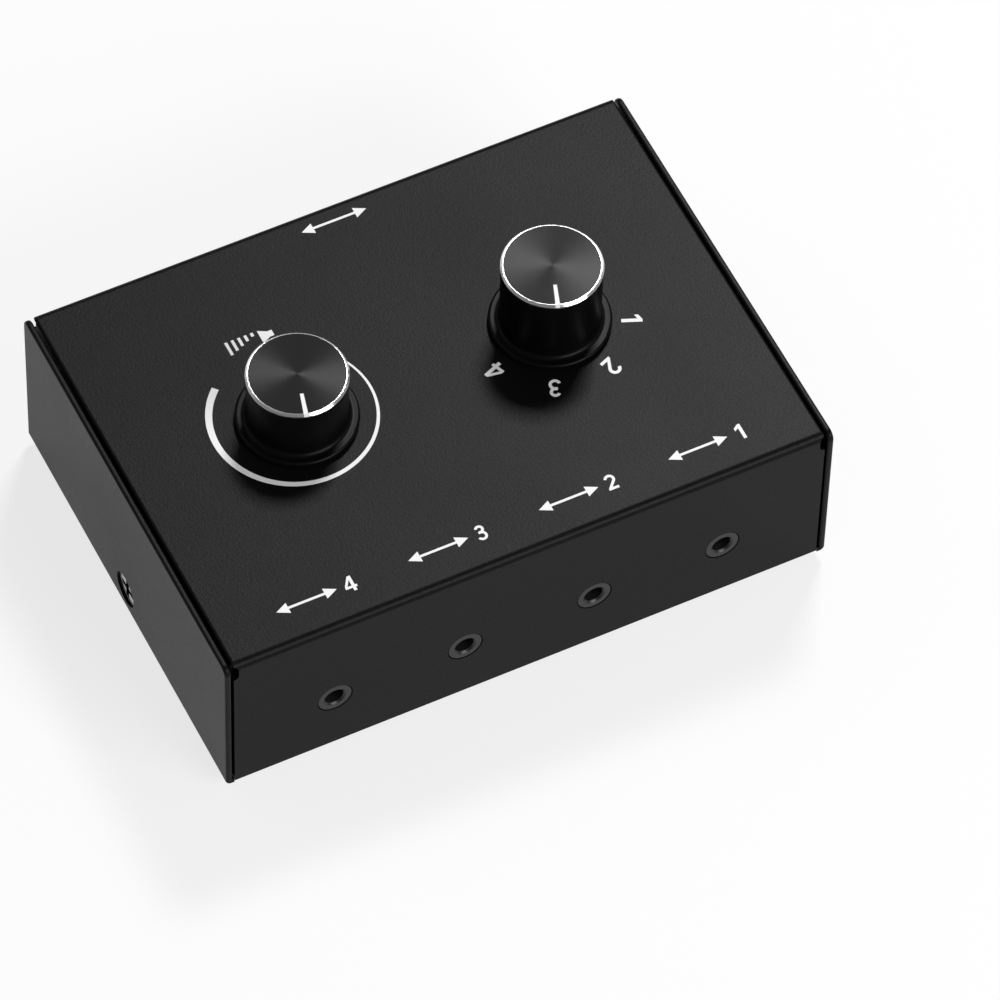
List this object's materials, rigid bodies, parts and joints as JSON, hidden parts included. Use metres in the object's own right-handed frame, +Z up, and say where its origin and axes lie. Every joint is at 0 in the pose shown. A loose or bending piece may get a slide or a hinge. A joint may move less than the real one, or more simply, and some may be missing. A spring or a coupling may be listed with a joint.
{
  "type": "audio selector switch",
  "caption": "Flat sheet metal audio switch box with a volume knob, a rotary source selector and jack sockets along the front and at the back.",
  "frame": {"origin": "middle of the bounding box's base, on the table between the four feet", "axes": "+X along the front wall towards the selector knob, +Y from the front wall to the back wall, +Z up"},
  "size_m": [0.1186, 0.0846, 0.0541],
  "materials": {
    "black_powder_coat": "fine satin powder coat",
    "screw_black": "black zinc",
    "nut_zinc": "bright zinc",
    "foot_rubber": "matt",
    "board_green": "solder mask",
    "jack_black": "moulded",
    "contact_brass": "plated",
    "plated_metal": "nickel plated",
    "shaft_metal": "turned",
    "knob_black": "polished",
    "cap_metal": "dark anodised, radially brushed, bright chamfer",
    "pointer_white": "paint",
    "pot_black": "moulded",
    "track_brown": "phenolic sheet",
    "rotor_white": "acetal"
  },
  "bodies": {
    "enclosure": {"base_tray": "black_powder_coat", "cover_shell": "black_powder_coat", "side_screws": "screw_black", "clinch_nuts": "nut_zinc", "rubber_feet": "foot_rubber", "circuit_board": "board_green", "volume_pot_bushing": "plated_metal", "volume_pot_case": "pot_black", "volume_pot_tracks": "track_brown", "volume_pot_terminals": "contact_brass", "volume_pot_washer": "plated_metal", "volume_pot_nut": "plated_metal", "selector_switch_bushing": "plated_metal", "selector_switch_case": "pot_black", "selector_switch_wafer": "track_brown", "selector_switch_terminals": "contact_brass", "selector_switch_washer": "plated_metal", "selector_switch_nut": "plated_metal", "front_jack_1_housing": "jack_black", "front_jack_1_contacts": "contact_brass", "front_jack_2_housing": "jack_black", "front_jack_2_contacts": "contact_brass", "front_jack_3_housing": "jack_black", "front_jack_3_contacts": "contact_brass", "front_jack_4_housing": "jack_black", "front_jack_4_contacts": "contact_brass", "rear_jack_housing": "jack_black", "rear_jack_contacts": "contact_brass"},
    "volume_control": {"volume_knob_body": "knob_black", "volume_knob_cap": "cap_metal", "volume_knob_pointer": "pointer_white", "volume_pot_shaft": "shaft_metal", "volume_pot_wipers": "rotor_white"},
    "selector_control": {"selector_knob_body": "knob_black", "selector_knob_cap": "cap_metal", "selector_knob_pointer": "pointer_white", "selector_switch_shaft": "shaft_metal", "selector_switch_rotor": "rotor_white", "selector_switch_wiper": "contact_brass", "selector_index_ball": "plated_metal", "selector_index_spring": "nut_zinc"}
  },
  "joints": [
    {"name": "volume_turn", "type": "hinge", "parent": "enclosure", "child": "volume_control", "pos_m": [-0.02485, 0.0013, 0.0374], "axis": [0, 0, 1], "range_deg": [-122, 158]},
    {"name": "selector_turn", "type": "hinge", "parent": "enclosure", "child": "selector_control", "pos_m": [0.02485, 0.0013, 0.0374], "axis": [0, 0, 1], "range_deg": [-45, 90]}
  ]
}
